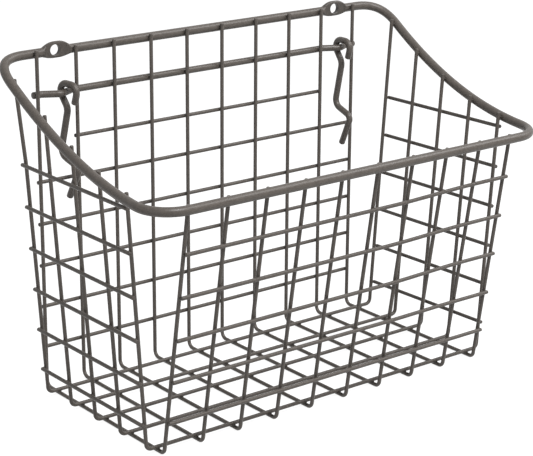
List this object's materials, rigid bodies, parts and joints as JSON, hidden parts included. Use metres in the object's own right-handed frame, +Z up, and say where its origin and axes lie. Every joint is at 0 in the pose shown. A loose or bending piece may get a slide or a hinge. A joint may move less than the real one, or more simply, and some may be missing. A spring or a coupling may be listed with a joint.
{
  "type": "pegboard wire basket",
  "caption": "Deep open wire basket with a sloping thick rim, screw eyelets in its back rail and swinging wire hooks for a pegboard.",
  "frame": {"origin": "middle of the underside of the bounding box, on the surface that the floor wires stand on", "axes": "+Z up; +X along the back rail, to the right for someone facing the open front; +Y towards the wall, so the front is -Y"},
  "size_m": [0.318, 0.1746, 0.2272],
  "materials": {
    "rim_paint": "satin dark warm grey paint over steel wire",
    "rod_paint": "satin dark warm grey paint over steel wire",
    "wire_paint": "satin dark warm grey paint over steel wire",
    "hook_paint": "satin dark warm grey paint over steel wire"
  },
  "bodies": {
    "basket": {"rim": "rim_paint", "hanger_rod": "rod_paint", "front_back_wire_01": "wire_paint", "front_back_wire_02": "wire_paint", "front_back_wire_03": "wire_paint", "front_back_wire_04": "wire_paint", "front_back_wire_05": "wire_paint", "front_back_wire_06": "wire_paint", "front_back_wire_07": "wire_paint", "front_back_wire_08": "wire_paint", "front_back_wire_09": "wire_paint", "front_back_wire_10": "wire_paint", "cross_wire_1": "wire_paint", "cross_wire_2": "wire_paint", "cross_wire_3": "wire_paint", "cross_wire_4": "wire_paint", "cross_wire_5": "wire_paint", "back_wire_1": "wire_paint", "back_wire_2": "wire_paint", "back_wire_3": "wire_paint", "back_wire_4": "wire_paint", "back_wire_5": "wire_paint", "back_wire_6": "wire_paint", "front_wire_1": "wire_paint", "front_wire_2": "wire_paint", "front_wire_3": "wire_paint", "front_wire_4": "wire_paint", "front_wire_5": "wire_paint", "left_wire_1": "wire_paint", "left_wire_2": "wire_paint", "left_wire_3": "wire_paint", "left_wire_4": "wire_paint", "left_wire_5": "wire_paint", "left_wire_6": "wire_paint", "right_wire_1": "wire_paint", "right_wire_2": "wire_paint", "right_wire_3": "wire_paint", "right_wire_4": "wire_paint", "right_wire_5": "wire_paint", "right_wire_6": "wire_paint"},
    "hook_left": {"hook_left": "hook_paint"},
    "hook_right": {"hook_right": "hook_paint"}
  },
  "joints": [
    {"name": "hook_left_swing", "type": "hinge", "parent": "basket", "child": "hook_left", "pos_m": [-0.1073, 0.07957, 0.1949], "axis": [-0.9848, -0.1736, 0], "range_deg": [-4, 183]},
    {"name": "hook_right_swing", "type": "hinge", "parent": "basket", "child": "hook_right", "pos_m": [0.1175, 0.07749, 0.1949], "axis": [-1, 0, 0], "range_deg": [-8, 186]}
  ]
}
